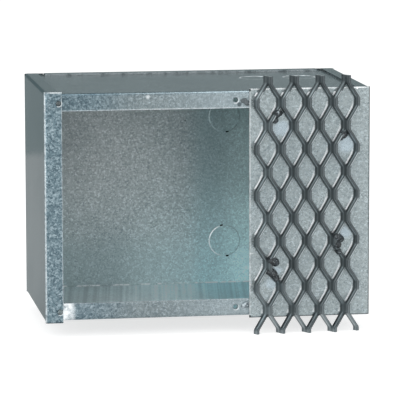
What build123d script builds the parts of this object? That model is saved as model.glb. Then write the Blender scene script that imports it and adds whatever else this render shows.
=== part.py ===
from build123d import *
import math
import os

# Galvanised steel slab box with an expanded-metal plaster key on its front panel.
# Millimetres. X runs to the right, Y from the front to the back, Z up.
# The origin is the centre of the four cover-screw holes, on the front face of the strips they are punched in.

# Box
box_w = 250.0
box_h = 176.0
box_d = 145.0
sheet = 1.5
bend_r = 0.8
lap = 0.1
flange_w = 13.4
panel_w = 93.5
strip_edge = 14.7

# Tabs folded in over the end plates
tab_w = 10.3
tab_clear = 3.0
tab_relief = 5.0
tab_slit = 0.4
corner_drop = 0.4

# Cover-screw holes
hole_d = 3.5
hole_in = 11.0
hole_pitch_x = 135.0
hole_end = 8.5

# Conduit knockouts
ko_d = 25.4
ko_step = 0.25
ko_roll = 0.8
ko_notch_l = 2.4
ko_notch_w = 1.2
ko_notch_deep = 1.1
ko_notch_turn = 11.0
ko_back_x = 160.8
ko_back_pitch = 101.0
ko_end_x = 178.0
ko_end_pitch = 34.5
ko_end_y = 94.0

# Expanded-metal key
mesh_swd = 20.1
mesh_lwd = 35.4
mesh_columns = 4
strand_w = 4.6
strand_t = 2.0
bond_l = 6.0
strand_bend = 3.0
mesh_in = 3.3
mesh_row = 10.7
mesh_over_top = 9.8
mesh_over_bottom = 11.8

# Arc tacks: lump centres in columns and rows of the mesh, with each lump's share of the full radius and height
tack_r = 4.5
tack_h = 6.4
tack_sides = 6
mesh_lumps = [
    (0.77, 0.40, 0.96, 0.94),
    (0.97, 0.25, 0.86, 0.84),
    (3.46, 0.71, 0.86, 0.81),
    (0.72, 3.48, 1.00, 1.00),
    (0.80, 3.74, 0.86, 0.81),
    (3.20, 2.95, 0.94, 1.00),
    (3.24, 3.09, 0.94, 1.00),
]
edge_tack_r = 3.4
edge_tack_h = 1.2
edge_tack_top = 10.0
edge_tack_bottom = 9.2

os.makedirs("parts", exist_ok=True)

# Positions that follow from the dimensions
bend_out = bend_r + sheet
left_x = -(hole_in + hole_pitch_x / 2)
right_x = left_x + box_w
mid_x = (left_x + right_x) / 2
front_y = -(sheet + lap)
back_y = front_y + box_d
mid_y = (front_y + back_y) / 2
top_z = box_h / 2
hole_pitch_z = box_h - 2 * hole_end
plate_z = top_z - sheet - lap
panel_x = right_x - panel_w
hole_places = [(sx * hole_pitch_x / 2, sz * hole_pitch_z / 2) for sx in (-1, 1) for sz in (-1, 1)]


def angle_section(leg, width):
    """Folded corner of the sheet, outer corner at the local origin, legs down and along local X."""
    line = Polyline((0, -leg), (0, 0), (width, 0), (width, -sheet), (sheet, -sheet), (sheet, -leg), close=True)
    face = make_face(line)
    outer = face.vertices().sort_by_distance((0, 0, 0))[0]
    face = fillet(outer, bend_out)
    inner = face.vertices().sort_by_distance((sheet, -sheet, 0))[0]
    return fillet(inner, bend_r)


def block(x0, x1, y0, y1, z0, z1):
    """Box between two corners."""
    return Pos((x0 + x1) / 2, (y0 + y1) / 2, (z0 + z1) / 2) * Box(x1 - x0, y1 - y0, z1 - z0)


def knockout(body, plane):
    """Half-sheared disc: sunk in the outer face at the plane, proud inside with a rolled rim and two pry notches."""
    sunk = Cylinder(ko_d / 2, ko_step, align=(Align.CENTER, Align.CENTER, Align.MAX))
    proud = Cone(ko_d / 2 - ko_roll, ko_d / 2, ko_step, align=(Align.CENTER, Align.CENTER, Align.MAX))
    body = body - plane * sunk
    body = body + plane * Pos(0, 0, -sheet) * proud
    inner = -sheet - ko_step
    for turn in (90 - ko_notch_turn, 270 - ko_notch_turn):
        notch = Box(ko_notch_w, ko_notch_l, 2 * ko_notch_deep)
        body = body - plane * Rot(0, 0, turn) * Pos(ko_d / 2, 0, inner) * notch
    return body


# Wrap: left flange, left side, back, right side and front panel in one folded sheet
outer_plan = Pos(mid_x, mid_y) * RectangleRounded(box_w, box_d, bend_out)
inner_plan = Pos(mid_x, mid_y) * RectangleRounded(box_w - 2 * sheet, box_d - 2 * sheet, bend_r)
ring = outer_plan - inner_plan
wall_h = box_h - 2 * sheet
wrap = Pos(0, 0, -wall_h / 2) * extrude(ring, wall_h)
front_part = Pos(0, 0, -top_z) * extrude(ring, box_h)
front_part = front_part & block(left_x, right_x, front_y, front_y + bend_out, -top_z, top_z)
wrap = wrap + front_part
wrap = wrap - block(left_x + flange_w, panel_x, front_y, front_y + sheet, -top_z, top_z)

# Tabs on the two sides and the back, at the top and mirrored at the bottom
leg = 2 * bend_out
side_y0 = front_y + tab_clear
side_y1 = back_y - tab_clear
back_x0 = left_x + tab_w + tab_relief
back_x1 = right_x - tab_w - tab_relief
section = angle_section(leg, tab_w)
left_tab = extrude(Plane((left_x, side_y1, top_z), x_dir=(1, 0, 0), z_dir=(0, -1, 0)) * section, side_y1 - side_y0)
right_tab = extrude(Plane((right_x, side_y0, top_z), x_dir=(-1, 0, 0), z_dir=(0, 1, 0)) * section, side_y1 - side_y0)
back_tab = extrude(Plane((back_x1, back_y, top_z), x_dir=(0, -1, 0), z_dir=(-1, 0, 0)) * section, back_x1 - back_x0)
left_gap = block(left_x, left_x + sheet, side_y0, side_y1, top_z - leg, top_z)
right_gap = block(right_x - sheet, right_x, side_y0, side_y1, top_z - leg, top_z)
back_gap = block(back_x0, back_x1, back_y - sheet, back_y, top_z - leg, top_z)
for tab, gap in ((left_tab, left_gap), (right_tab, right_gap), (back_tab, back_gap)):
    wrap = wrap - gap - mirror(gap, about=Plane.XY)
    wrap = wrap + tab + mirror(tab, about=Plane.XY)

# Rear corners stand up beside the tabs, with a slit at each tab's end
corner_h = box_h - 2 * corner_drop
posts = Pos(0, 0, -corner_h / 2) * extrude(ring, corner_h)
posts = posts & block(left_x, right_x, side_y1 + tab_slit, back_y, -top_z, top_z)
posts = posts - block(back_x0 - tab_slit, back_x1 + tab_slit, side_y1, back_y, -top_z, top_z)
wrap = wrap + posts

# Knockouts in the back and cover-screw holes in the left flange
for sz in (-1, 1):
    spot = Plane((left_x + ko_back_x, back_y, sz * ko_back_pitch / 2), x_dir=(1, 0, 0), z_dir=(0, 1, 0))
    wrap = knockout(wrap, spot)
punch = Rot(90, 0, 0) * Cylinder(hole_d / 2, 6 * sheet)
for x, z in hole_places:
    wrap = wrap - Pos(x, 0, z) * punch
box_wrap = wrap.clean()

# Top plate: front strip and web in one fold, lapped under the tabs; the bottom plate is its mirror twin
plate_x0 = left_x + sheet + bend_r
plate_x1 = right_x - sheet - bend_r
web_y1 = back_y - sheet - bend_r
plate_section = angle_section(strip_edge - sheet - lap, web_y1)
plate = extrude(Plane((plate_x0, 0, plate_z), x_dir=(0, 1, 0), z_dir=(1, 0, 0)) * plate_section, plate_x1 - plate_x0)
for x, z in hole_places:
    plate = plate - Pos(x, 0, z) * punch
for i in range(2):
    spot = Plane((left_x + ko_end_x + i * ko_end_pitch, front_y + ko_end_y, plate_z))
    plate = knockout(plate, spot)
top_plate = plate.clean()
bottom_plate = mirror(top_plate, about=Plane.XY)

# Expanded metal: each ribbon between two slits is one zigzag band pushed out through the strand width.
# Ribbons stand at an angle to the mesh plane, so that one half pitch takes the strand width and the stretch.
half_swd = mesh_swd / 2
lean = math.acos(strand_w / half_swd)
stretch = half_swd * math.sin(lean)
along = Vector(math.cos(lean), -math.sin(lean), 0)
across = Vector(math.sin(lean), math.cos(lean), 0)
mesh_deep = 2 * strand_w * math.sin(lean) + strand_t * math.cos(lean)
mesh_y = front_y - mesh_deep / 2
mesh_x = panel_x + mesh_in
z_high = top_z + mesh_over_top
z_low = -top_z - mesh_over_bottom
row_z = top_z - mesh_row
rows_up = math.ceil((z_high - row_z) / mesh_lwd) + 1
rows_down = math.ceil((row_z - z_low) / mesh_lwd) + 1


def ribbon(k):
    """Ribbon k: its left bonds meet ribbon k - 1 and its right bonds meet ribbon k + 1."""
    first = k % 2
    left_side = []
    right_side = []
    for i in range(-2 * rows_down, 2 * rows_up + 1):
        level = row_z + i * mesh_lwd / 2
        at_left = (i + first) % 2 == 0
        shift = 0 if at_left else stretch
        for end in (-bond_l / 2, bond_l / 2):
            left_side.append((shift - strand_t / 2, level + end))
            right_side.append((shift + strand_t / 2, level + end))
    band = make_face(Polyline(*left_side, *reversed(right_side), close=True))
    corners = band.vertices().sort_by(Axis.Y)[2:-2]
    band = fillet(corners, strand_bend)
    window = Pos(stretch / 2, (z_low + z_high) / 2) * Rectangle(4 * stretch, z_high - z_low)
    band = band & window
    bond_mid = Vector(mesh_x + k * half_swd, mesh_y, 0)
    plane = Plane(bond_mid, x_dir=across, z_dir=along)
    return extrude(plane * band, strand_w)


key_mesh = ribbon(0)
for k in range(1, 2 * mesh_columns):
    key_mesh = key_mesh + ribbon(k)

# Arc tacks: low lumps of weld metal, cut back where the steel they hold runs through them


def lump(radius, height):
    """Mound of weld metal on the local XY plane, lofted from its foot over a waist to a small crown."""
    foot = RegularPolygon(radius, tack_sides)
    waist = Pos(0, 0, 0.6 * height) * RegularPolygon(0.9 * radius, tack_sides)
    crown = Pos(0, 0, height) * RegularPolygon(0.55 * radius, tack_sides)
    return loft([foot, waist, crown], ruled=True)


def on_front(x, y, z):
    """Local frame on a face that looks to the front."""
    return Plane((x, y, z), x_dir=(1, 0, 0), z_dir=(0, -1, 0))


lumps = Part()
for column, row, wide, high in mesh_lumps:
    spot = on_front(mesh_x + column * mesh_swd, front_y, row_z - row * mesh_lwd)
    lumps = lumps + spot * lump(wide * tack_r, high * tack_h)
lumps = lumps - key_mesh
mesh_tacks = Compound(children=[s for s in lumps.solids() if s.volume > sheet ** 3])

lumps = Part()
for z in (top_z - edge_tack_top, -top_z + edge_tack_bottom):
    spot = on_front(panel_x - 0.8 * edge_tack_r, 0, z)
    lumps = lumps + spot * lump(edge_tack_r, edge_tack_h + sheet)
lumps = lumps - box_wrap - top_plate - bottom_plate
panel_tacks = Compound(children=list(lumps.solids()))

export_step(box_wrap, "parts/box_wrap.step")
export_step(top_plate, "parts/top_plate.step")
export_step(bottom_plate, "parts/bottom_plate.step")
export_step(key_mesh, "parts/key_mesh.step")
export_step(mesh_tacks, "parts/mesh_tacks.step")
export_step(panel_tacks, "parts/panel_tacks.step")
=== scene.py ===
import bmesh
import bpy
from mathutils import Matrix, Vector, noise


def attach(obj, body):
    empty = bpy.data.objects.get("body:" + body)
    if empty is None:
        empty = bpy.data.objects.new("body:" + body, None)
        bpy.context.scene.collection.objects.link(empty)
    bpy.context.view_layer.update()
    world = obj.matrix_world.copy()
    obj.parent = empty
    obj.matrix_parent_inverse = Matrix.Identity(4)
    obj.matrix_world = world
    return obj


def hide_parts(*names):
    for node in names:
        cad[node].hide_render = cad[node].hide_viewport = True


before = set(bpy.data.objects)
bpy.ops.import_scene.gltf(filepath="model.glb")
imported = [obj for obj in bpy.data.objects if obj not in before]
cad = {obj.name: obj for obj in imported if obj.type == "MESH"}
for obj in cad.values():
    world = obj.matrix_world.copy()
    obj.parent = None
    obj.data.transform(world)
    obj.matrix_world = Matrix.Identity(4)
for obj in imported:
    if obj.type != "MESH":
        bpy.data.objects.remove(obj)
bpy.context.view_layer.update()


def corners_of(node):
    """Lowest and highest corner of a CAD node, in metres, in the part's own frame."""
    points = [vert.co for vert in cad[node].data.vertices]
    low = Vector([min(point[axis] for point in points) for axis in range(3)])
    high = Vector([max(point[axis] for point in points) for axis in range(3)])
    return low, high


wrap_low, wrap_high = corners_of("box_wrap")
plate_low, plate_high = corners_of("top_plate")

# Faces and edges of the sheets, in metres. The bottom plate mirrors the top one
LEFT_X = wrap_low.x
RIGHT_X = wrap_high.x
FRONT_Y = wrap_low.y
BACK_Y = wrap_high.y
TOP_Z = wrap_high.z
PLATE_Z = plate_high.z
STRIP_EDGE_Z = plate_low.z
FLANGE_EDGE_X = -0.0651
PANEL_EDGE_X = 0.0780
SEAM_Z = -0.0846
SEAM_W = 0.0009
TAB_W = 0.0103

# How far behind the front the panel's skin, the flat of the front and its folds reach
SKIN_DEPTH = 0.0004
FLAT_DEPTH = 0.0012
FOLD_DEPTH = 0.0021
# Places (y) where the strips' fold ends, where the floor's flat begins and behind the holes' burrs
STRIP_BACK_Y = 0.0022
FLOOR_FRONT_Y = 0.0030
BURR_BACK_Y = 0.0040

# Weld lumps: x, z, radius and how far each stands off its sheet
MESH_WELDS = [
    (0.0970, 0.0641, 0.0026, 0.0072),
    (0.0985, 0.0692, 0.0030, 0.0080),
    (0.1010, 0.0690, 0.0022, 0.0050),
    (0.1502, 0.0522, 0.0032, 0.0066),
    (0.1480, 0.0500, 0.0026, 0.0056),
    (0.0945, -0.0438, 0.0038, 0.0099),
    (0.0974, -0.0450, 0.0031, 0.0086),
    (0.0927, -0.0527, 0.0024, 0.0070),
    (0.0955, -0.0535, 0.0032, 0.0096),
    (0.0977, -0.0572, 0.0026, 0.0096),
    (0.1446, -0.0262, 0.0035, 0.0100),
    (0.1480, -0.0284, 0.0027, 0.0074),
    (0.1452, -0.0322, 0.0031, 0.0102),
    (0.1463, -0.0376, 0.0022, 0.0101),
]
EDGE_WELDS = [
    (0.0728, 0.0786, 0.0016, 0.0009),
    (0.0746, 0.0790, 0.0019, 0.0015),
    (0.0760, 0.0772, 0.0021, 0.0021),
    (0.0735, -0.0792, 0.0017, 0.0010),
    (0.0757, -0.0780, 0.0022, 0.0020),
]
# Shares of a lump's height: its half height, and how far its middle stands off the sheet
LUMP_HALF = 0.60
LUMP_MIDDLE = 0.40
# Weld skin: voxel that fuses the lumps, ripples and pits (fineness is per metre), and its depth in the sheet
WELD_VOXEL = 0.00032
RIPPLE_FINENESS = 420.0
RIPPLE_FALL = 0.9
RIPPLE_STEP = 2.2
RIPPLE_LAYERS = 4
RIPPLE_H = 0.00050
PIT_FINENESS = 900.0
PIT_H = 0.00016
WELD_SEAT = 0.0008

# Pale burnt zinc beside each mesh weld: x, z and radius
ZINC_BURNS = [
    (0.1030, 0.0572, 0.0076),
    (0.1532, 0.0443, 0.0084),
    (0.0947, -0.0618, 0.0056),
    (0.0992, -0.0520, 0.0040),
    (0.1524, -0.0240, 0.0054),
]
# Radius of the scorched patch about each lump of the mesh welds, as a share of the lump's own
SCORCH_REACH = 1.15

# Knockouts: places on the back (y laid flat) and on the end plates (z laid flat), and the disc's radius
BACK_KNOCKOUTS = [(0.0823, 0.0, 0.0505), (0.0823, 0.0, -0.0505)]
END_KNOCKOUTS = [(0.0995, 0.0924, 0.0), (0.1340, 0.0924, 0.0)]
KNOCKOUT_R = 0.0127
# Width of the sheared rims' painted highlights outside, how bright the painted highlights on the upper and
# the lower rolled rim are, and the roll's place
BACK_RIM_W = 0.0011
END_RIM_W = 0.0018
ROLL_BRIGHTNESS = [0.14, 1.0]
ROLL_R = KNOCKOUT_R - 0.0003
ROLL_W = 0.0010
ROLL_SINK = 0.0013
# Stretches from a rolled rim's middle over which its painted highlight on the left goes and its painted shade
# on the right comes
ROLL_LEFT = (-0.008, 0.001)
ROLL_RIGHT = (-0.001, 0.006)
# Pry notches: under the outer face between these depths, and this far out from the disc
NOTCH_TOP = 0.00045
NOTCH_FLOOR = 0.00130
NOTCH_REACH = 0.002

# Cover-screw holes: places on the strips (y laid flat), radii and widths of bore and burr, and how far to the
# lower right the painted highlight on the burr comes on
COVER_HOLES = [(x, 0.0, z) for x in (-0.0675, 0.0675) for z in (-0.0795, 0.0795)]
HOLE_R = 0.00175
BURR_R = HOLE_R + 0.0007
BORE_W = 0.0012
BURR_W = 0.0010
BURR_SIDE = (0.0002, 0.0018)

# Mesh: half pitches across and up, the strand's width and thickness, and the bond's length
MESH_HALF_X = 0.01005
MESH_HALF_Z = 0.0177
STRAND_W = 0.0046
STRAND_T = 0.0020
BOND_L = 0.0060
# Lean of the strands across the panel, and the step from one to the next at right angles to their width
STRAND_COS = STRAND_W / MESH_HALF_X
STRAND_SIN = (1.0 - STRAND_COS ** 2) ** 0.5
STRAND_STEP = MESH_HALF_X * STRAND_SIN
# Half a bond as a share of the whole pitch
BOND_SHARE = BOND_L / 2 / (2 * MESH_HALF_Z)
# Place on a bond that the strands are counted from, and a slack that keeps cut faces with their strand
MESH_X = 0.0813
MESH_Y = FRONT_Y - STRAND_W * STRAND_SIN - STRAND_T * STRAND_COS / 2
MESH_Z = 0.0773
STRAND_SLACK = 0.02
# Painted highlight lines beside the strands, in shares of a half pitch: slope and offset of their path, where
# it curls and how much, their width, and where they begin and fade
PAINTED_GLINT_SLOPE = 1.063
PAINTED_GLINT_OFFSET = 0.20
PAINTED_GLINT_BEND = 0.58
PAINTED_GLINT_CURL = 1.1
PAINTED_GLINT_WIDTH = (0.064, 0.110)
PAINTED_GLINT_BEGIN = (0.24, 0.32)
PAINTED_GLINT_FADE = (0.62, 1.0)
# Ends of the stretch that has painted highlight lines
PAINTED_GLINT_LEFT_X = PANEL_EDGE_X + 0.002
PAINTED_GLINT_RIGHT_X = 0.158

# Depths under the outer faces of the walls and of the ends, between which the inside gives way to the outside
WALL_FADE = (0.0010, 0.0005)
END_FADE = (0.0026, 0.0022)
# Stretches over which a face or a tone of the finish sets in or fades, in metres
MOUTH_Y = (0.0003, 0.0010)
AHEAD_Y = (0.0016, 0.0028)
FLANGE_FACE_Y = (0.0, 0.0006)
FLANGE_SPANGLE_X = (FLANGE_EDGE_X, FLANGE_EDGE_X + 0.001)
STRIP_FACE_Y = (0.0012, 0.0020)
RIGHT_ZONE_X = (0.046, 0.068)
LOW_ZONE_Z = (-0.038, -0.060)
RIGHTWARD_X = (-0.025, 0.105)
DOWNWARD_Z = (0.020, -0.080)
FAR_RIGHT_X = (0.070, 0.100)
BACK_WALL_Y = (BACK_Y - 0.0035, BACK_Y - 0.0025)
STRIP_SPANGLE_X = (-0.050, -0.005)
STRIP_SHADE_X = (-0.045, 0.005)
STRIP_LIGHT_X = (0.0, 0.070)
FLOOR_TONE_X = (0.030, 0.085)
LOWER_STRANDS_Z = (-0.088, -0.046)
TOP_STRANDS_Z = (TOP_Z - 0.003, TOP_Z + 0.001)
# Heights past which the edge welds' lower and upper lumps lie
LOWER_WELDS_Z = -0.070
UPPER_WELDS_Z = 0.074

# Zinc crystals' sizes, coarse and fine, and the floor's painted reflection streaks: lean to the back and
# fineness
CRYSTAL_SIZE = 0.0015
SPARK_SIZE = 0.0010
STREAK_LEAN = 0.14
STREAK_FINENESS = 250.0
# Two sets of scratches: how each is turned, and how fine it is along each axis, per metre
SCRATCH_SETS = [
    ((0.3, 0.7, 0.2), (14.0, 640.0, 640.0)),
    ((1.1, 0.2, 0.9), (640.0, 640.0, 18.0)),
]
# Drawn lines of the mesh's steel: how fine along each axis, per metre
STEEL_STREAKS = (900.0, 900.0, 160.0)
# Scales that lay one axis flat
FLAT_Y = (1.0, 0.0, 1.0)
FLAT_Z = (1.0, 1.0, 0.0)

# Colours of the zinc
ZINC = (0.262, 0.306, 0.315, 1.0)
ZINC_DARK = (0.062, 0.098, 0.122, 1.0)
ZINC_BRIGHT = (0.52, 0.62, 0.67, 1.0)
ZINC_BLUE = (0.150, 0.214, 0.246, 1.0)
ZINC_STRIP = (0.198, 0.232, 0.238, 1.0)
# Inside and floor colours of the same zinc, lightened as painted light for the dimmer inside
ZINC_INSIDE_LIT = (0.435, 0.483, 0.492, 1.0)
ZINC_FLOOR_LIT = (0.84, 0.89, 0.90, 1.0)
ZINC_SPARK = (0.86, 0.91, 0.92, 1.0)
ZINC_SPECK = (0.05, 0.06, 0.065, 1.0)
ZINC_BURNT = (0.46, 0.56, 0.63, 1.0)
ZINC_SCORCHED = (0.100, 0.085, 0.066, 1.0)
# Painted highlight on edges, folds, rims, seams and burrs, and the colour of one pale worn mark
HIGHLIGHT_AND_WEAR = (0.86, 0.90, 0.92, 1.0)
# Painted highlight beside the mesh's rising strands
PAINTED_GLINT = (0.94, 0.98, 1.0, 1.0)
SMEAR = (0.040, 0.055, 0.065, 1.0)
SHADOW = (0.012, 0.015, 0.017, 1.0)
# Tints of the zinc at grazing angles
ZINC_EDGE = (0.160, 0.200, 0.211, 1.0)
# Floor's grazing tint, lightened as painted light
ZINC_FLOOR_LIT_EDGE = (0.88, 0.92, 0.93, 1.0)
# Painted light and shade, with the inside's teal tint: casts that a part of a sheet is multiplied by
WHITE = (1.0, 1.0, 1.0, 1.0)
TEAL_TINT_AND_BOUNCE = (0.80, 1.02, 1.05, 1.0)
FOOT_PAINTED_LIGHT = (1.62, 1.62, 1.62, 1.0)
FAR_RIGHT_PAINTED_LIGHT = (1.42, 1.38, 1.34, 1.0)
FLOOR_LIFT = (1.25, 1.16, 1.14, 1.0)
FLOOR_SHADE = (0.70, 0.68, 0.69, 1.0)
PANEL_PAINTED_LIGHT = (1.18, 1.16, 1.15, 1.0)
FLANGE_PAINTED_SHADE = (0.90, 0.92, 0.92, 1.0)
STRIP_PAINTED_SHADE = (0.76, 0.79, 0.80, 1.0)
# Colours of the mesh's steel
STEEL_DULL = (0.120, 0.148, 0.158, 1.0)
STEEL_LIGHT = (0.200, 0.236, 0.250, 1.0)
STEEL_CLOUD = (0.080, 0.095, 0.102, 1.0)
STEEL_DRAWN = (0.50, 0.56, 0.58, 1.0)
STEEL_TORN = (0.030, 0.037, 0.041, 1.0)
STEEL_CUT_SHADE = (0.050, 0.060, 0.065, 1.0)
STEEL_LOWER = (0.34, 0.40, 0.42, 1.0)
STEEL_PALE = (0.46, 0.52, 0.54, 1.0)
STEEL_BOND = (0.112, 0.134, 0.143, 1.0)
STEEL_EDGE = (0.018, 0.022, 0.025, 1.0)
STEEL_TOP_SHADE = (0.060, 0.072, 0.078, 1.0)
# Colours of the weld scale
SCALE_DARK = (0.010, 0.013, 0.015, 1.0)
SCALE_GREY = (0.052, 0.064, 0.071, 1.0)
SCALE_BROWN = (0.066, 0.062, 0.056, 1.0)
SCALE_BLUE = (0.06, 0.085, 0.11, 1.0)
SPATTER_DARK = (0.09, 0.12, 0.14, 1.0)
SPATTER_BRIGHT = (0.50, 0.58, 0.62, 1.0)
WELD_UPPER = (0.122, 0.146, 0.156, 1.0)
WELD_BARE = (0.36, 0.41, 0.44, 1.0)

# Marks on the front strips: x, z, radius, strength and colour
STRIP_MARKS = [
    (0.0704, 0.0762, 0.0021, 0.80, SMEAR),
    (0.0005, 0.0830, 0.0019, 0.40, HIGHLIGHT_AND_WEAR),
]


def join_node(tree, kind, inputs, **settings):
    """New shader node with its settings, and its inputs set or linked."""
    made = tree.nodes.new(kind)
    for name, value in settings.items():
        setattr(made, name, value)
    for name, value in inputs.items():
        socket = made.inputs[name]
        if isinstance(value, bpy.types.NodeSocket):
            tree.links.new(value, socket)
        else:
            socket.default_value = value
    return made


def calc(tree, operation, first, second=0.0):
    """Math node's result."""
    return join_node(tree, "ShaderNodeMath", {0: first, 1: second}, operation=operation).outputs[0]


def times(tree, first, *others):
    """Values multiplied together."""
    for other in others:
        first = calc(tree, "MULTIPLY", first, other)
    return first


def plus(tree, first, second):
    """Sum of two values."""
    return calc(tree, "ADD", first, second)


def minus(tree, first, second):
    """First value less the second."""
    return calc(tree, "SUBTRACT", first, second)


def ratio(tree, first, second):
    """First value divided by the second."""
    return calc(tree, "DIVIDE", first, second)


def larger(tree, first, second):
    """Larger of two values."""
    return calc(tree, "MAXIMUM", first, second)


def above(tree, value, limit):
    """One where the value is over the limit."""
    return calc(tree, "GREATER_THAN", value, limit)


def below(tree, value, limit):
    """One where the value is under the limit."""
    return calc(tree, "LESS_THAN", value, limit)


def unsigned(tree, value):
    """Value without its sign."""
    return calc(tree, "ABSOLUTE", value)


def rounded_down(tree, value):
    """Whole number at or under the value."""
    return calc(tree, "FLOOR", value)


def fraction(tree, value):
    """What the value has over the whole number under it."""
    return calc(tree, "FRACT", value)


def inverse(tree, mask):
    """One where the mask is off."""
    return minus(tree, 1.0, mask)


def vector_calc(tree, operation, first, second):
    """Vector Math node's results: Vector and Value."""
    return join_node(tree, "ShaderNodeVectorMath", {0: first, 1: second}, operation=operation).outputs


def ramp(tree, value, low, high, to_low=0.0, to_high=1.0, smooth=True):
    """Value carried from one range to another, held at the ends."""
    inputs = {"Value": value, "From Min": low, "From Max": high, "To Min": to_low, "To Max": to_high}
    kind = "SMOOTHSTEP" if smooth else "LINEAR"
    made = join_node(tree, "ShaderNodeMapRange", inputs, interpolation_type=kind, clamp=True)
    return made.outputs["Result"]


def line_at(tree, value, place, width):
    """One on a line across a coordinate, gone at the width to either side."""
    off = unsigned(tree, minus(tree, value, place))
    return ramp(tree, off, 0.45 * width, width, 1.0, 0.0)


def blend_value(tree, mask, off, on):
    """Value that goes from one to another as the mask comes on."""
    return join_node(tree, "ShaderNodeMix", {0: mask, 2: off, 3: on}).outputs[0]


def blend_colour(tree, mask, off, on, kind="MIX"):
    """Colour that goes from one to another as the mask comes on."""
    inputs = {0: mask, 6: off, 7: on}
    made = join_node(tree, "ShaderNodeMix", inputs, data_type="RGBA", blend_type=kind, clamp_factor=True)
    return made.outputs[2]


def cast(tree, mask, colour, shade):
    """Colour multiplied by a shade where the mask is on."""
    return blend_colour(tree, 1.0, colour, blend_colour(tree, mask, WHITE, shade), "MULTIPLY")


def grain(tree, vector, scale, detail=3.0, rough=0.55):
    """Noise texture's value."""
    inputs = {"Vector": vector, "Scale": scale, "Detail": detail, "Roughness": rough}
    return join_node(tree, "ShaderNodeTexNoise", inputs).outputs["Fac"]


def cells(tree, vector, scale):
    """Voronoi cells: three numbers drawn for each cell, and the distance from its middle."""
    made = join_node(tree, "ShaderNodeTexVoronoi", {"Vector": vector, "Scale": scale}).outputs
    drawn = join_node(tree, "ShaderNodeSeparateColor", {"Color": made["Color"]}).outputs
    return drawn, made["Distance"]


def new_group(name, vectors, values, results):
    """Empty shader node group with named inputs, vectors before values, and value outputs."""
    group = bpy.data.node_groups.new(name, "ShaderNodeTree")
    for label in vectors:
        group.interface.new_socket(label, in_out="INPUT", socket_type="NodeSocketVector")
    for label in values:
        group.interface.new_socket(label, in_out="INPUT", socket_type="NodeSocketFloat")
    for label in results:
        group.interface.new_socket(label, in_out="OUTPUT", socket_type="NodeSocketFloat")
    return group, group.nodes.new("NodeGroupInput").outputs, group.nodes.new("NodeGroupOutput").inputs


def use_group(tree, group, inputs):
    """Results of a group placed in a tree."""
    return join_node(tree, "ShaderNodeGroup", inputs, node_tree=group).outputs


def make_spangle():
    """Zinc crystals: a shade for each crystal, feathered inside, and a height that dips between crystals."""
    group, given, result = new_group("zinc_spangle", ["Vector"], ["Size", "Feather"], ["Shade", "Height"])
    per_metre = ratio(group, 1.0, given["Size"])
    inputs = {"Vector": given["Vector"], "Scale": per_metre, "Detail": 2.0}
    wobble = join_node(group, "ShaderNodeTexNoise", inputs).outputs["Color"]
    push = vector_calc(group, "SUBTRACT", wobble, (0.5, 0.5, 0.5))["Vector"]
    push = vector_calc(group, "MULTIPLY", push, given["Size"])["Vector"]
    bent = vector_calc(group, "ADD", given["Vector"], push)["Vector"]
    crystals, _ = cells(group, bent, per_metre)
    twigs, _ = cells(group, bent, times(group, per_metre, 2.7))
    shade = blend_value(group, given["Feather"], crystals["Red"], twigs["Green"])
    inputs = {"Vector": bent, "Scale": per_metre}
    edges = join_node(group, "ShaderNodeTexVoronoi", inputs, feature="DISTANCE_TO_EDGE")
    border = ramp(group, edges.outputs["Distance"], 0.0, 0.09, 1.0, 0.0)
    group.links.new(shade, result["Shade"])
    group.links.new(minus(group, shade, times(group, border, 0.3)), result["Height"])
    return group


def make_handling():
    """Marks of handling: thin scratches, soft smudges and small dark specks."""
    group, given, result = new_group("handling_marks", ["Vector"], [], ["Scratch", "Smudge", "Speck"])
    place = given["Vector"]
    lines = 0.0
    for turn, fineness in SCRATCH_SETS:
        turned = join_node(group, "ShaderNodeMapping", {"Vector": place, "Rotation": turn, "Scale": fineness})
        thin = ramp(group, grain(group, turned.outputs[0], 1.0, 1.0), 0.735, 0.78)
        lines = larger(group, lines, thin)
    patches = ramp(group, grain(group, place, 55.0, 2.0), 0.45, 0.62)
    smudge = ramp(group, grain(group, place, 22.0, 4.0, 0.6), 0.38, 0.68)
    drawn, middle = cells(group, place, 62.0)
    speck = times(group, ramp(group, middle, 0.035, 0.06, 1.0, 0.0), above(group, drawn["Blue"], 0.82))
    group.links.new(times(group, lines, patches), result["Scratch"])
    group.links.new(smudge, result["Smudge"])
    group.links.new(speck, result["Speck"])
    return group


def make_heat_patch():
    """Round patch with a ragged rim about a centre."""
    group, given, result = new_group("heat_patch", ["Vector", "Centre"], ["Radius", "Rag"], ["Mask"])
    far = vector_calc(group, "DISTANCE", given["Vector"], given["Centre"])["Value"]
    share = ratio(group, far, given["Radius"])
    uneven = minus(group, grain(group, given["Vector"], 330.0, 4.0, 0.65), 0.5)
    rim = plus(group, share, times(group, uneven, given["Rag"], 4.0))
    group.links.new(ramp(group, rim, 0.45, 1.1, 1.0, 0.0), result["Mask"])
    return group


def make_ring():
    """Thin line at a radius about a centre, worn uneven, and the disc inside it."""
    group, given, result = new_group("ring_mark", ["Vector", "Centre"], ["Radius", "Width"], ["Line", "Disc"])
    far = vector_calc(group, "DISTANCE", given["Vector"], given["Centre"])["Value"]
    off = ratio(group, unsigned(group, minus(group, far, given["Radius"])), given["Width"])
    worn = ramp(group, grain(group, given["Vector"], 260.0, 2.0), 0.30, 0.55, 0.45, 1.0)
    group.links.new(times(group, ramp(group, off, 0.25, 0.60, 1.0, 0.0), worn), result["Line"])
    group.links.new(below(group, far, given["Radius"]), result["Disc"])
    return group


SPANGLE = make_spangle()
HANDLING = make_handling()
HEAT_PATCH = make_heat_patch()
RING = make_ring()


def heat_patch(tree, place, centre, radius, rag):
    """Mask of a ragged round patch about a centre."""
    inputs = {"Vector": place, "Centre": centre, "Radius": radius, "Rag": rag}
    return use_group(tree, HEAT_PATCH, inputs)["Mask"]


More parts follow.
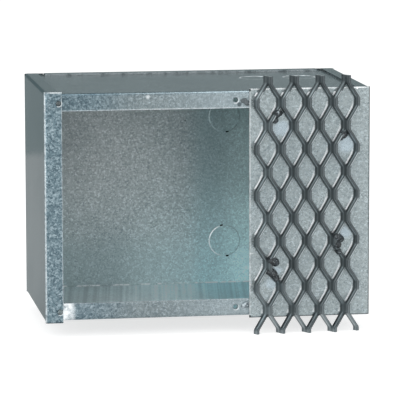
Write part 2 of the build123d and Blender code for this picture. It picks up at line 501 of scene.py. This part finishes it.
def ring_mark(tree, flat, centre, radius, width):
    """Results of the ring group about a centre: Line and Disc."""
    return use_group(tree, RING, {"Vector": flat, "Centre": centre, "Radius": radius, "Width": width})


def flat_on(tree, place, keep):
    """Object coordinates with one axis laid flat."""
    return vector_calc(tree, "MULTIPLY", place, keep)["Vector"]


def start_material(name):
    """Material with its tree, its shader, and the object's coordinates whole and by axis."""
    material = bpy.data.materials.new(name)
    material.use_nodes = True
    tree = material.node_tree
    shader = tree.nodes["Principled BSDF"]
    place = tree.nodes.new("ShaderNodeTexCoord").outputs["Object"]
    where = join_node(tree, "ShaderNodeSeparateXYZ", {0: place}).outputs
    return material, tree, shader, place, where


def relief(tree, shader, height, strength, distance):
    """Bump on the shader's normal."""
    bump = join_node(tree, "ShaderNodeBump", {"Strength": strength, "Distance": distance, "Height": height})
    tree.links.new(bump.outputs[0], shader.inputs["Normal"])


def inside_mask(tree, where):
    """One on the faces that look into the box."""
    outer, inner = WALL_FADE
    half = (RIGHT_X - LEFT_X) / 2
    off_middle = unsigned(tree, minus(tree, where["X"], (LEFT_X + RIGHT_X) / 2))
    across = ramp(tree, off_middle, half - outer, half - inner, 1.0, 0.0)
    behind = ramp(tree, where["Y"], *MOUTH_Y)
    before = ramp(tree, where["Y"], BACK_Y - outer, BACK_Y - inner, 1.0, 0.0)
    outer, inner = END_FADE
    high = ramp(tree, unsigned(tree, where["Z"]), TOP_Z - outer, TOP_Z - inner, 1.0, 0.0)
    return times(tree, across, behind, before, high)


def sparkle(tree, place, inside, zone, colour):
    """Fine bright and dark crystals, calmer in the zone."""
    fine = use_group(tree, SPANGLE, {"Vector": place, "Size": SPARK_SIZE, "Feather": 0.30})
    calm = blend_value(tree, zone, 1.0, 0.62)
    bright = times(tree, ramp(tree, fine["Shade"], 0.60, 0.92), blend_value(tree, inside, 0.45, 0.65), calm)
    colour = blend_colour(tree, bright, colour, blend_colour(tree, inside, ZINC_BRIGHT, ZINC_SPARK))
    pepper = times(tree, ramp(tree, fine["Shade"], 0.05, 0.45, 0.42, 0.0), calm)
    return blend_colour(tree, pepper, colour, ZINC_DARK)


def inside_painted_light(tree, where, inside, right_zone, low_zone, colour):
    """Inside of the box: teal to the right and downwards, partly the zinc's own tint and partly painted
    bounce light, and painted light at the foot and far to the right.
    """
    rightward = ramp(tree, where["X"], *RIGHTWARD_X)
    downward = ramp(tree, where["Z"], *DOWNWARD_Z)
    zone_teal = larger(tree, times(tree, right_zone, 0.42), times(tree, low_zone, 0.12))
    teal = plus(tree, times(tree, plus(tree, rightward, downward), 0.34), zone_teal)
    colour = cast(tree, times(tree, teal, inside), colour, TEAL_TINT_AND_BOUNCE)
    colour = cast(tree, times(tree, rightward, downward, inside), colour, FOOT_PAINTED_LIGHT)
    back_wall = times(tree, ramp(tree, where["Y"], *BACK_WALL_Y), inside)
    far_right = times(tree, ramp(tree, where["X"], *FAR_RIGHT_X), back_wall)
    return cast(tree, far_right, colour, FAR_RIGHT_PAINTED_LIGHT)


def zinc_sheet(name, flange, plain, within, grazing, shine_inside, shine_outside):
    """Galvanised sheet, with stronger and bluer crystals where the flange mask is on."""
    material, tree, shader, place, where = start_material(name)
    strong = flange(tree, where)
    inside = inside_mask(tree, where)
    right_zone = ramp(tree, where["X"], *RIGHT_ZONE_X)
    low_zone = ramp(tree, where["Z"], *LOW_ZONE_Z)
    zone = times(tree, larger(tree, right_zone, low_zone), inside)
    spangle = use_group(tree, SPANGLE, {"Vector": place, "Size": CRYSTAL_SIZE, "Feather": 0.35})
    marks = use_group(tree, HANDLING, {"Vector": place})

    contrast = blend_value(tree, strong, 0.15, 0.85)
    dark = times(tree, ramp(tree, spangle["Shade"], 0.22, 0.40, 1.0, 0.0), contrast)
    light = times(tree, ramp(tree, spangle["Shade"], 0.58, 0.85), contrast, 0.55)
    colour = blend_colour(tree, strong, plain, ZINC_BLUE)
    colour = blend_colour(tree, inside, colour, within)
    colour = blend_colour(tree, dark, colour, ZINC_DARK)
    colour = blend_colour(tree, light, colour, ZINC_BRIGHT)
    colour = sparkle(tree, place, inside, zone, colour)
    colour = blend_colour(tree, times(tree, marks["Scratch"], 0.30), colour, ZINC_BRIGHT)
    colour = blend_colour(tree, times(tree, marks["Speck"], 0.75), colour, ZINC_SPECK)
    colour = blend_colour(tree, ramp(tree, grain(tree, place, 16.0), 0.35, 0.7, 0.0, 0.15), colour, ZINC_DARK)
    colour = inside_painted_light(tree, where, inside, right_zone, low_zone, colour)

    ahead = ramp(tree, where["Y"], *AHEAD_Y, 1.0, 0.0)
    plain_side = inverse(tree, larger(tree, ahead, inside))
    gloss = plus(tree, blend_value(tree, spangle["Shade"], 0.20, 0.30), times(tree, marks["Smudge"], 0.07))
    gloss = times(tree, gloss, blend_value(tree, plain_side, 1.0, 0.45))
    gloss = plus(tree, gloss, times(tree, inside, 0.10))
    tree.links.new(gloss, shader.inputs["Roughness"])
    relief(tree, shader, times(tree, spangle["Height"], blend_value(tree, ahead, 0.15, 1.0)), 0.25, 0.00012)
    shine = blend_value(tree, plain_side, 0.70, shine_outside)
    shine = blend_value(tree, inside, shine, shine_inside)
    shader.inputs["Specular Tint"].default_value = grazing
    shader.inputs["Specular IOR Level"].default_value = 0.0
    return material, tree, shader, place, where, colour, shine


def pry_notches(tree, flat, depth, face, centres, rim_width, colour):
    """Painted shade on the notch floors beside each knockout, and a painted highlight on its sheared rim on
    the outer face.
    """
    outside = above(tree, depth, face - NOTCH_TOP)
    notch = times(tree, below(tree, depth, face - NOTCH_TOP), above(tree, depth, face - NOTCH_FLOOR))
    for centre in centres:
        rim = ring_mark(tree, flat, centre, KNOCKOUT_R, rim_width)["Line"]
        near = ring_mark(tree, flat, centre, KNOCKOUT_R + NOTCH_REACH, rim_width)["Disc"]
        colour = blend_colour(tree, times(tree, rim, outside), colour, HIGHLIGHT_AND_WEAR)
        colour = blend_colour(tree, times(tree, near, notch), colour, SHADOW)
    return colour


def rolled_rims(tree, flat, where, colour):
    """Rolled rims of the back knockouts, inside the box: painted highlight on the left, painted shade on the
    right.
    """
    inner = below(tree, where["Y"], BACK_Y - ROLL_SINK)
    for centre, brightness in zip(BACK_KNOCKOUTS, ROLL_BRIGHTNESS):
        rim = times(tree, ring_mark(tree, flat, centre, ROLL_R, ROLL_W)["Line"], inner)
        aside = minus(tree, where["X"], centre[0])
        left = ramp(tree, aside, *ROLL_LEFT, brightness, 0.0)
        right = ramp(tree, aside, *ROLL_RIGHT, 0.0, 0.35)
        colour = blend_colour(tree, times(tree, rim, left), colour, HIGHLIGHT_AND_WEAR)
        colour = blend_colour(tree, times(tree, rim, right), colour, ZINC_DARK)
    return colour


def hole_rims(tree, flat, where, colour):
    """Painted shade in the bore of each cover-screw hole, and a painted highlight on its burr at the lower
    right.
    """
    front = below(tree, where["Y"], BURR_BACK_Y)
    for centre in COVER_HOLES:
        bore = ring_mark(tree, flat, centre, HOLE_R, BORE_W)["Line"]
        burr = ring_mark(tree, flat, centre, BURR_R, BURR_W)["Line"]
        aside = minus(tree, minus(tree, where["X"], centre[0]), minus(tree, where["Z"], centre[2]))
        lower_right = ramp(tree, aside, *BURR_SIDE)
        colour = blend_colour(tree, times(tree, bore, front, 0.85), colour, SHADOW)
        colour = blend_colour(tree, times(tree, burr, lower_right, front, 0.60), colour, HIGHLIGHT_AND_WEAR)
    return colour


def highlight_lines(tree, place, lines, colour):
    """Painted highlights along edges and folds, broken here and there."""
    broken = ramp(tree, grain(tree, place, 190.0, 3.0, 0.6), 0.30, 0.58, 0.25, 1.0)
    for line, part, strength in lines:
        colour = blend_colour(tree, times(tree, line, part, broken, strength), colour, HIGHLIGHT_AND_WEAR)
    return colour


def wrap_edges(tree, place, where, colour):
    """Wrap's edges: painted highlights at its left fold, its free edges, the front's upper edge and the tabs'
    edges.
    """
    front = below(tree, where["Y"], 0.0)
    at_fold = below(tree, where["Y"], FRONT_Y + FOLD_DEPTH)
    on_top = above(tree, where["Z"], PLATE_Z)
    lines = [
        (line_at(tree, where["X"], LEFT_X + 0.0005, 0.0008), at_fold, 0.50),
        (line_at(tree, where["X"], FLANGE_EDGE_X, 0.0006), front, 0.35),
        (line_at(tree, where["X"], PANEL_EDGE_X, 0.0008), front, 0.40),
        (line_at(tree, where["Z"], TOP_Z, 0.0012), front, 0.70),
        (line_at(tree, where["Y"], BACK_Y - TAB_W, 0.0009), on_top, 1.0),
        (line_at(tree, where["X"], RIGHT_X - TAB_W, 0.0007), on_top, 1.4),
    ]
    return highlight_lines(tree, place, lines, colour)


def back_seam(tree, place, where, colour):
    """Painted highlight: bright dashes along the foot of the back, inside the box."""
    back_face = times(tree, above(tree, where["Y"], BACK_Y - 0.003), below(tree, where["Y"], BACK_Y - 0.001))
    seam = times(tree, line_at(tree, where["Z"], SEAM_Z, SEAM_W), back_face)
    dashes = ramp(tree, grain(tree, place, 170.0, 3.0, 0.6), 0.47, 0.58)
    return blend_colour(tree, times(tree, seam, dashes), colour, HIGHLIGHT_AND_WEAR)


def painted_glint_lines(tree, where):
    """Mask of painted highlight lines on the panel's zinc beside the strands of the mesh that rise to the
    right.
    """
    over = ratio(tree, minus(tree, where["X"], MESH_X), MESH_HALF_X)
    up = ratio(tree, minus(tree, where["Z"], MESH_Z), MESH_HALF_Z)
    row = rounded_down(tree, up)
    rise = minus(tree, up, row)
    run = times(tree, fraction(tree, times(tree, minus(tree, over, row), 0.5)), 2.0)
    bend = larger(tree, minus(tree, rise, PAINTED_GLINT_BEND), 0.0)
    path = minus(tree, times(tree, rise, PAINTED_GLINT_SLOPE), PAINTED_GLINT_OFFSET)
    path = minus(tree, path, times(tree, bend, bend, PAINTED_GLINT_CURL))
    line = ramp(tree, unsigned(tree, minus(tree, run, path)), *PAINTED_GLINT_WIDTH, 1.0, 0.0)
    length = times(tree, ramp(tree, rise, *PAINTED_GLINT_BEGIN), ramp(tree, rise, *PAINTED_GLINT_FADE, 1.0, 0.25))
    skin = below(tree, where["Y"], FRONT_Y + SKIN_DEPTH)
    middle = below(tree, unsigned(tree, where["Z"]), TOP_Z - 0.003)
    ends = times(tree, above(tree, where["X"], PAINTED_GLINT_LEFT_X), below(tree, where["X"], PAINTED_GLINT_RIGHT_X))
    return times(tree, line, length, skin, middle, ends)


def dark_folds(tree, place, where, colour):
    """Panel's right fold and left corners, and the front's lower edge, which lie in shadow."""
    front = below(tree, where["Y"], 0.0)
    at_fold = below(tree, where["Y"], FRONT_Y + FOLD_DEPTH)
    right = times(tree, line_at(tree, where["X"], RIGHT_X - 0.0002, 0.0012), at_fold)
    lower = times(tree, line_at(tree, where["Z"], -TOP_Z, 0.0010), front)
    colour = blend_colour(tree, times(tree, larger(tree, right, lower), 0.7), colour, SHADOW)
    for z in (TOP_Z - 0.0010, -TOP_Z + 0.0010):
        corner = heat_patch(tree, place, (PANEL_EDGE_X, FRONT_Y, z), 0.0014, 0.1)
        colour = blend_colour(tree, corner, colour, SHADOW)
    return colour


def burnt_zinc(tree, place, where, colour):
    """Pale and scorched patches about the mesh welds, on the panel's skin."""
    skin = below(tree, where["Y"], FRONT_Y + SKIN_DEPTH)
    for x, z, radius in ZINC_BURNS:
        patch = heat_patch(tree, place, (x, FRONT_Y, z), radius, 0.30)
        colour = blend_colour(tree, times(tree, patch, skin, 0.52), colour, ZINC_BURNT)
    for x, z, radius, _ in MESH_WELDS:
        scorch = heat_patch(tree, place, (x, FRONT_Y, z), radius * SCORCH_REACH, 0.55)
        colour = blend_colour(tree, times(tree, scorch, skin), colour, ZINC_SCORCHED)
    return colour


def wrap_finish():
    """Folded sheet: blue spangle on the left flange, burnt zinc about the welds on the panel."""
    def flange(tree, where):
        left = ramp(tree, where["X"], *FLANGE_SPANGLE_X, 1.0, 0.0)
        front = ramp(tree, where["Y"], *FLANGE_FACE_Y, 1.0, 0.0)
        return times(tree, left, front)

    material, tree, shader, place, where, colour, shine = zinc_sheet(
        "zinc_wrap", flange, ZINC, ZINC_INSIDE_LIT, ZINC_EDGE, shine_inside=0.25, shine_outside=0.95)
    flat = flat_on(tree, place, FLAT_Y)
    colour = pry_notches(tree, flat, where["Y"], BACK_Y, BACK_KNOCKOUTS, BACK_RIM_W, colour)
    colour = rolled_rims(tree, flat, where, colour)
    colour = hole_rims(tree, flat, where, colour)
    colour = wrap_edges(tree, place, where, colour)
    colour = back_seam(tree, place, where, colour)
    ahead = below(tree, where["Y"], FRONT_Y + FLAT_DEPTH)
    panel_part = times(tree, above(tree, where["X"], PANEL_EDGE_X), ahead)
    # Painted light on the panel's front, painted shade on the flange's front
    colour = cast(tree, panel_part, colour, PANEL_PAINTED_LIGHT)
    flange_part = times(tree, below(tree, where["X"], FLANGE_EDGE_X), ahead)
    colour = cast(tree, flange_part, colour, FLANGE_PAINTED_SHADE)
    # Painted highlight lines beside the rising strands, made less metallic so they stay bright
    painted_glint = painted_glint_lines(tree, where)
    colour = blend_colour(tree, painted_glint, colour, PAINTED_GLINT)
    colour = dark_folds(tree, place, where, colour)
    colour = burnt_zinc(tree, place, where, colour)
    tree.links.new(colour, shader.inputs["Base Color"])
    dull = inverse(tree, times(tree, painted_glint, 0.9))
    tree.links.new(times(tree, shine, dull), shader.inputs["Metallic"])
    return material


def floor_tones(tree, where, level, colour):
    """Webs' inner faces: painted reflection streaks along the depth, and on the lower web painted light on
    the left and painted shade on the right.
    """
    web = times(tree, above(tree, where["Y"], FLOOR_FRONT_Y), below(tree, level, PLATE_Z - 0.0012))
    along = minus(tree, where["X"], times(tree, where["Y"], STREAK_LEAN))
    drawn = join_node(tree, "ShaderNodeCombineXYZ", {"X": times(tree, along, STREAK_FINENESS)}).outputs[0]
    streak = times(tree, ramp(tree, grain(tree, drawn, 1.0), 0.34, 0.64, 0.30, 0.0), web)
    colour = blend_colour(tree, streak, colour, ZINC_DARK)
    tone = blend_colour(tree, ramp(tree, where["X"], *FLOOR_TONE_X), FLOOR_LIFT, FLOOR_SHADE)
    return cast(tree, times(tree, web, below(tree, where["Z"], 0.0)), colour, tone)


def plate_finish(name, within, grazing, shine_inside, shine_outside, edge_highlight, white_end):
    """End plates: blue spangle at the left end of the strips, smooth grey towards the panel; painted shade at
    the left end and on the upper fold, painted light towards the panel.
    """
    def strip_end(tree, where):
        left = ramp(tree, where["X"], *STRIP_SPANGLE_X, 0.85, 0.12)
        front = ramp(tree, where["Y"], *STRIP_FACE_Y, 1.0, 0.0)
        return times(tree, left, front)

    material, tree, shader, place, where, colour, shine = zinc_sheet(
        name, strip_end, ZINC_STRIP, within, grazing, shine_inside, shine_outside)
    level = unsigned(tree, where["Z"])
    upper = above(tree, where["Z"], 0.0)
    strip = below(tree, where["Y"], STRIP_BACK_Y)
    colour = pry_notches(tree, flat_on(tree, place, FLAT_Z), level, PLATE_Z, END_KNOCKOUTS, END_RIM_W, colour)
    colour = hole_rims(tree, flat_on(tree, place, FLAT_Y), where, colour)
    # Painted highlights along the strip's free edge and over the bottom strip's left end
    lines = [
        (line_at(tree, level, STRIP_EDGE_Z, 0.0010), strip, edge_highlight),
        (line_at(tree, where["X"], FLANGE_EDGE_X, 0.0105), strip, white_end),
    ]
    colour = highlight_lines(tree, place, lines, colour)
    # Painted shade at the strips' left end
    left_end_shade = times(tree, ramp(tree, where["X"], *STRIP_SHADE_X, 1.0, 0.0), strip, upper)
    colour = cast(tree, left_end_shade, colour, STRIP_PAINTED_SHADE)
    # Painted shade on the upper strip's fold, toning down its highlight
    fold = times(tree, line_at(tree, level, PLATE_Z, 0.0026), strip, upper, 0.45)
    colour = blend_colour(tree, fold, colour, ZINC_DARK)
    # Painted light on the strips towards the panel
    right_end_light = times(tree, ramp(tree, where["X"], *STRIP_LIGHT_X, 0.0, 0.22), strip)
    colour = blend_colour(tree, right_end_light, colour, ZINC_BRIGHT)
    colour = floor_tones(tree, where, level, colour)
    for x, z, radius, strength, shade in STRIP_MARKS:
        mark = heat_patch(tree, place, (x, 0.0, z), radius, 0.15)
        colour = blend_colour(tree, times(tree, mark, strength), colour, shade)
    # Painted shadow along the strips' lower edge
    foot = times(tree, line_at(tree, where["Z"], -TOP_Z + 0.0004, 0.0010), strip, 0.7)
    colour = blend_colour(tree, foot, colour, SHADOW)
    tree.links.new(colour, shader.inputs["Base Color"])
    tree.links.new(shine, shader.inputs["Metallic"])
    return material


def strand_place(tree, where):
    """Shares on a strand: of its width from the back edge, of the pitch up from its left bond, of its
    thickness from its middle."""
    over = minus(tree, where["X"], MESH_X)
    behind = minus(tree, where["Y"], MESH_Y)
    outward = minus(tree, times(tree, over, STRAND_COS), times(tree, behind, STRAND_SIN))
    reach = minus(tree, ratio(tree, outward, STRAND_W), STRAND_SLACK)
    strand = rounded_down(tree, reach)
    width_share = minus(tree, reach, strand)
    odd = times(tree, calc(tree, "FLOORED_MODULO", strand, 2.0), 0.5)
    level = ratio(tree, minus(tree, where["Z"], MESH_Z), 2.0 * MESH_HALF_Z)
    pitch_share = fraction(tree, plus(tree, level, odd))
    up = ramp(tree, pitch_share, BOND_SHARE, 0.5 - BOND_SHARE, smooth=False)
    down = ramp(tree, pitch_share, 0.5 + BOND_SHARE, 1.0 - BOND_SHARE, smooth=False)
    middle = times(tree, plus(tree, strand, minus(tree, up, down)), STRAND_STEP)
    across = plus(tree, times(tree, over, STRAND_SIN), times(tree, behind, STRAND_COS))
    thickness_share = ratio(tree, minus(tree, across, middle), STRAND_T)
    return width_share, pitch_share, thickness_share


def mesh_finish():
    """Sheared and stretched steel: dull grey sheet faces with a dark torn band, and cut faces darkened as
    painted shade.
    """
    material, tree, shader, place, where = start_material("mesh_steel_drawn")
    stretched = join_node(tree, "ShaderNodeMapping", {"Vector": place, "Scale": STEEL_STREAKS}).outputs[0]
    streak = grain(tree, stretched, 1.0, 3.0, 0.6)
    cloud = grain(tree, place, 140.0)
    width_share, pitch_share, thickness_share = strand_place(tree, where)
    rising = times(tree, ramp(tree, pitch_share, 0.09, 0.14), ramp(tree, pitch_share, 0.38, 0.43, 1.0, 0.0))
    falling = times(tree, ramp(tree, pitch_share, 0.57, 0.64), ramp(tree, pitch_share, 0.86, 0.93, 1.0, 0.0))
    bond = inverse(tree, larger(tree, rising, falling))
    facing = tree.nodes.new("ShaderNodeNewGeometry").outputs["Normal"]
    ahead = vector_calc(tree, "DOT_PRODUCT", facing, (STRAND_COS, -STRAND_SIN, 0.0))["Value"]
    cut_face = above(tree, ahead, 0.9)
    sheet_face = inverse(tree, cut_face)

    colour = blend_colour(tree, ramp(tree, streak, 0.3, 0.75), STEEL_DULL, STEEL_LIGHT)
    colour = blend_colour(tree, ramp(tree, cloud, 0.55, 0.8, 0.0, 0.5), colour, STEEL_CLOUD)
    drawn = times(tree, line_at(tree, width_share, 0.66, 0.17), sheet_face, 0.80)
    colour = blend_colour(tree, drawn, colour, STEEL_DRAWN)
    ragged = plus(tree, width_share, times(tree, minus(tree, cloud, 0.5), 0.5))
    torn = times(tree, ramp(tree, ragged, 0.26, 0.42, 1.0, 0.0), sheet_face)
    torn = times(tree, torn, blend_value(tree, rising, 0.60, 0.95))
    colour = blend_colour(tree, torn, colour, STEEL_TORN)
    # Painted shade on the cut faces
    colour = blend_colour(tree, times(tree, cut_face, 0.75), colour, STEEL_CUT_SHADE)
    lower = times(tree, ramp(tree, where["Z"], *LOWER_STRANDS_Z, 0.30, 0.0), inverse(tree, rising))
    colour = blend_colour(tree, lower, colour, STEEL_LOWER)
    # Painted light on the rising strands' cut faces, close to the panel's grey
    on_panel = below(tree, unsigned(tree, where["Z"]), TOP_Z - 0.002)
    pale = times(tree, cut_face, rising, ramp(tree, thickness_share, -0.18, 0.0), on_panel)
    colour = blend_colour(tree, pale, colour, STEEL_PALE)
    colour = blend_colour(tree, times(tree, bond, 0.60), colour, STEEL_BOND)
    far_edge = times(tree, ramp(tree, thickness_share, 0.20, 0.38, 0.0, 0.85), cut_face)
    colour = blend_colour(tree, far_edge, colour, STEEL_EDGE)
    # Painted shade on the strands above the box's top
    colour = blend_colour(tree, ramp(tree, where["Z"], *TOP_STRANDS_Z, 0.0, 0.55), colour, STEEL_TOP_SHADE)
    tree.links.new(colour, shader.inputs["Base Color"])
    gloss = ramp(tree, streak, 0.2, 0.8, 0.42, 0.30, smooth=False)
    tree.links.new(gloss, shader.inputs["Roughness"])
    relief(tree, shader, streak, 0.3, 0.0001)
    shader.inputs["Metallic"].default_value = 0.70
    return material


def weld_finish():
    """Arc weld left as it cooled: charcoal scale with brown and blue heat tints and a few bare glints."""
    material, tree, shader, place, where = start_material("weld_scale")
    lump = grain(tree, place, 420.0, 4.0, 0.6)
    tint = grain(tree, place, 260.0, 2.0)
    bare = ramp(tree, grain(tree, place, 700.0, 2.0), 0.60, 0.70)
    colour = blend_colour(tree, ramp(tree, lump, 0.35, 0.7), SCALE_DARK, SCALE_GREY)
    colour = blend_colour(tree, ramp(tree, tint, 0.60, 0.75, 0.0, 0.35), colour, SCALE_BROWN)
    colour = blend_colour(tree, ramp(tree, tint, 0.42, 0.30, 0.0, 0.5), colour, SCALE_BLUE)
    spatter = blend_colour(tree, ramp(tree, lump, 0.40, 0.60), SPATTER_DARK, SPATTER_BRIGHT)
    lower = times(tree, below(tree, where["Z"], LOWER_WELDS_Z), 0.75)
    colour = blend_colour(tree, lower, colour, spatter)
    upper = times(tree, above(tree, where["Z"], UPPER_WELDS_Z), 0.60)
    colour = blend_colour(tree, upper, colour, WELD_UPPER)
    colour = blend_colour(tree, bare, colour, WELD_BARE)
    tree.links.new(colour, shader.inputs["Base Color"])
    tree.links.new(ramp(tree, lump, 0.3, 0.7, 0.62, 0.34, smooth=False), shader.inputs["Roughness"])
    tree.links.new(blend_value(tree, bare, 0.35, 1.0), shader.inputs["Metallic"])
    relief(tree, shader, lump, 0.6, 0.0003)
    return material


def dress(node, material):
    """Finish on a CAD node's own slots."""
    shape = cad[node]
    if not shape.material_slots:
        shape.data.materials.append(material)
    for place in shape.material_slots:
        place.material = material


def show(name, data):
    """Object at the origin that shows a mesh, a light or a camera."""
    shown = bpy.data.objects.new(name, data)
    bpy.context.scene.collection.objects.link(shown)
    return shown


def fused_lumps(name, lumps, seat_y):
    """Rounded lumps run together in one skin."""
    shape = bmesh.new()
    for x, z, radius, height in lumps:
        lump = bmesh.ops.create_icosphere(shape, subdivisions=4, radius=1.0)["verts"]
        bmesh.ops.scale(shape, verts=lump, vec=(radius, LUMP_HALF * height, radius))
        bmesh.ops.translate(shape, verts=lump, vec=(x, seat_y - LUMP_MIDDLE * height, z))
    mesh = bpy.data.meshes.new(name)
    shape.to_mesh(mesh)
    shape.free()
    piece = show(name, mesh)
    fuse = piece.modifiers.new("fuse", "REMESH")
    fuse.mode = "VOXEL"
    fuse.voxel_size = WELD_VOXEL
    depsgraph = bpy.context.evaluated_depsgraph_get()
    fused = bpy.data.meshes.new_from_object(piece.evaluated_get(depsgraph))
    piece.modifiers.clear()
    piece.data = fused
    bpy.data.meshes.remove(mesh)
    fused.name = name
    return piece


def weld_piece(name, lumps, seat_y, material, seed):
    """Weld beads: fused lumps, pitted and rippled as they cooled, cut off in their sheet."""
    piece = fused_lumps(name, lumps, seat_y)
    shift = Vector((seed * 3.7, seed * 1.3, seed * 2.1))
    shape = bmesh.new()
    shape.from_mesh(piece.data)
    for vert in shape.verts:
        at = (vert.co + shift) * RIPPLE_FINENESS
        ripple = noise.fractal(at, RIPPLE_FALL, RIPPLE_STEP, RIPPLE_LAYERS)
        pit = noise.noise((vert.co - shift) * PIT_FINENESS)
        vert.co += vert.normal * (RIPPLE_H * ripple + PIT_H * pit)
    low = [vert for vert in shape.verts if vert.co.y > seat_y + WELD_SEAT]
    bmesh.ops.delete(shape, geom=low, context="VERTS")
    bmesh.ops.holes_fill(shape, edges=[edge for edge in shape.edges if edge.is_boundary])
    bmesh.ops.recalc_face_normals(shape, faces=shape.faces)
    for face in shape.faces:
        face.smooth = True
    shape.to_mesh(piece.data)
    shape.free()
    piece.data.materials.clear()
    piece.data.materials.append(material)
    return piece


wrap_zinc = wrap_finish()
top_zinc = plate_finish(
    "zinc_top_plate", ZINC_INSIDE_LIT, ZINC_EDGE,
    shine_inside=0.25, shine_outside=0.72, edge_highlight=0.40, white_end=0.0)
bottom_zinc = plate_finish(
    "zinc_bottom_plate", ZINC_FLOOR_LIT, ZINC_FLOOR_LIT_EDGE,
    shine_inside=0.55, shine_outside=0.70, edge_highlight=0.12, white_end=1.0)
mesh_steel = mesh_finish()
weld_scale = weld_finish()
dress("box_wrap", wrap_zinc)
dress("top_plate", top_zinc)
dress("bottom_plate", bottom_zinc)
dress("key_mesh", mesh_steel)

mesh_welds = weld_piece("mesh_weld_beads", MESH_WELDS, FRONT_Y, weld_scale, 1.0)
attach(mesh_welds, "root")
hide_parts("mesh_tacks")
edge_welds = weld_piece("edge_weld_beads", EDGE_WELDS, 0.0, weld_scale, 2.0)
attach(edge_welds, "root")
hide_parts("panel_tacks")

# Stage: pale floor under the mesh's lower ends, a grey card behind that only the steel sees, and soft lights
FLOOR_Z = corners_of("key_mesh")[0].z
FLOOR_HALF = 4.0
FLOOR_GREY = (0.45, 0.45, 0.45, 1.0)
FLOOR_GLOW = 0.70
CARD_Y = 1.092
CARD_HALF = 2.5
CARD_TOP_Z = 1.9
CARD_GREY = (0.72, 0.81, 0.82, 1.0)
SKY_SEEN = 1.0
SKY_LIGHT = 0.85
MIDDLE = (0.05, 0.05, 0.0)


def flat_card(name, corners):
    """Single face between four corners."""
    shape = bmesh.new()
    shape.faces.new([shape.verts.new(corner) for corner in corners])
    mesh = bpy.data.meshes.new(name)
    shape.to_mesh(mesh)
    shape.free()
    piece = show(name, mesh)
    return piece


def bare_material(name):
    """Material with its tree and the output's socket, and no shader yet."""
    material = bpy.data.materials.new(name)
    material.use_nodes = True
    tree = material.node_tree
    tree.nodes.remove(tree.nodes["Principled BSDF"])
    return material, tree, tree.nodes["Material Output"].inputs["Surface"]


def plain_rays(tree):
    """One for rays from the camera, from a reflection or through glass."""
    light = tree.nodes.new("ShaderNodeLightPath").outputs
    seen = larger(tree, light["Is Camera Ray"], light["Is Glossy Ray"])
    return larger(tree, seen, light["Is Transmission Ray"])


def lay_floor():
    """White paper under the box, clear from below."""
    around = [(-1, -1), (1, -1), (1, 1), (-1, 1)]
    floor = flat_card("floor", [(x * FLOOR_HALF, y * FLOOR_HALF, FLOOR_Z) for x, y in around])
    paper, tree, surface = bare_material("white_paper")
    matt = join_node(tree, "ShaderNodeBsdfDiffuse", {"Color": FLOOR_GREY}).outputs[0]
    strength = times(tree, plain_rays(tree), FLOOR_GLOW)
    glow = join_node(tree, "ShaderNodeEmission", {"Color": WHITE, "Strength": strength}).outputs[0]
    top = join_node(tree, "ShaderNodeAddShader", {0: matt, 1: glow}).outputs[0]
    underside = tree.nodes.new("ShaderNodeNewGeometry").outputs["Backfacing"]
    clear = tree.nodes.new("ShaderNodeBsdfTransparent").outputs[0]
    seen = join_node(tree, "ShaderNodeMixShader", {0: underside, 1: top, 2: clear})
    tree.links.new(seen.outputs[0], surface)
    floor.data.materials.append(paper)


def hang_card():
    """Grey card behind the box, seen only in its steel."""
    left_low = (-CARD_HALF, CARD_Y, FLOOR_Z)
    right_low = (CARD_HALF, CARD_Y, FLOOR_Z)
    right_top = (CARD_HALF, CARD_Y, CARD_TOP_Z)
    left_top = (-CARD_HALF, CARD_Y, CARD_TOP_Z)
    card = flat_card("grey_card", [left_low, right_low, right_top, left_top])
    card.visible_camera = False
    card.visible_shadow = False
    card.visible_diffuse = False
    grey, tree, surface = bare_material("grey_card")
    glow = join_node(tree, "ShaderNodeEmission", {"Color": CARD_GREY, "Strength": 1.0})
    tree.links.new(glow.outputs[0], surface)
    card.data.materials.append(grey)


def light_sky():
    """White surroundings, a little dimmer as a light than as they are seen."""
    world = bpy.data.worlds.new("studio")
    bpy.context.scene.world = world
    world.use_nodes = True
    tree = world.node_tree
    sky = tree.nodes["Background"].inputs
    sky["Color"].default_value = WHITE
    tree.links.new(blend_value(tree, plain_rays(tree), SKY_LIGHT, SKY_SEEN), sky["Strength"])


def soft_light(name, place, width, height, watts):
    """Rectangular soft light turned to the box's middle."""
    lamp = bpy.data.lights.new(name, "AREA")
    lamp.shape = "RECTANGLE"
    lamp.size = width
    lamp.size_y = height
    lamp.energy = watts
    turn = (Vector(MIDDLE) - Vector(place)).to_track_quat("-Z", "Y").to_matrix()
    show(name, lamp).matrix_world = Matrix.Translation(place) @ turn.to_4x4()


lay_floor()
hang_card()
light_sky()
soft_light("left_window", (-1.30, -0.12, 0.20), 0.30, 0.8, 2.2)
soft_light("overhead", (0.25, -0.20, 1.40), 0.6, 0.6, 5.0)
soft_light("front_left", (-1.05, -1.45, 0.60), 1.4, 1.2, 14.0)
soft_light("front_right", (1.20, -1.55, 0.90), 1.6, 1.4, 13.0)

# Camera at the photograph's place
CAMERA_AT = (-0.33051, -2.34674, 0.34512)
CAMERA_RIGHT = Vector((0.987717, -0.156243, -0.001802))
CAMERA_DOWN = Vector((-0.023993, -0.140259, -0.989824))
CAMERA_FORWARD = Vector((0.1544, 0.977709, -0.142285))
lens = bpy.data.cameras.new("photo_camera")
lens.lens = 284.35
lens.sensor_width = 36.0
lens.clip_start = 0.1
lens.clip_end = 50.0
camera = show("photo_camera", lens)
camera_turn = Matrix((CAMERA_RIGHT, -CAMERA_DOWN, -CAMERA_FORWARD)).transposed()
camera.matrix_world = Matrix.Translation(CAMERA_AT) @ camera_turn.to_4x4()
bpy.context.scene.camera = camera
bpy.context.scene.view_settings.view_transform = "Standard"
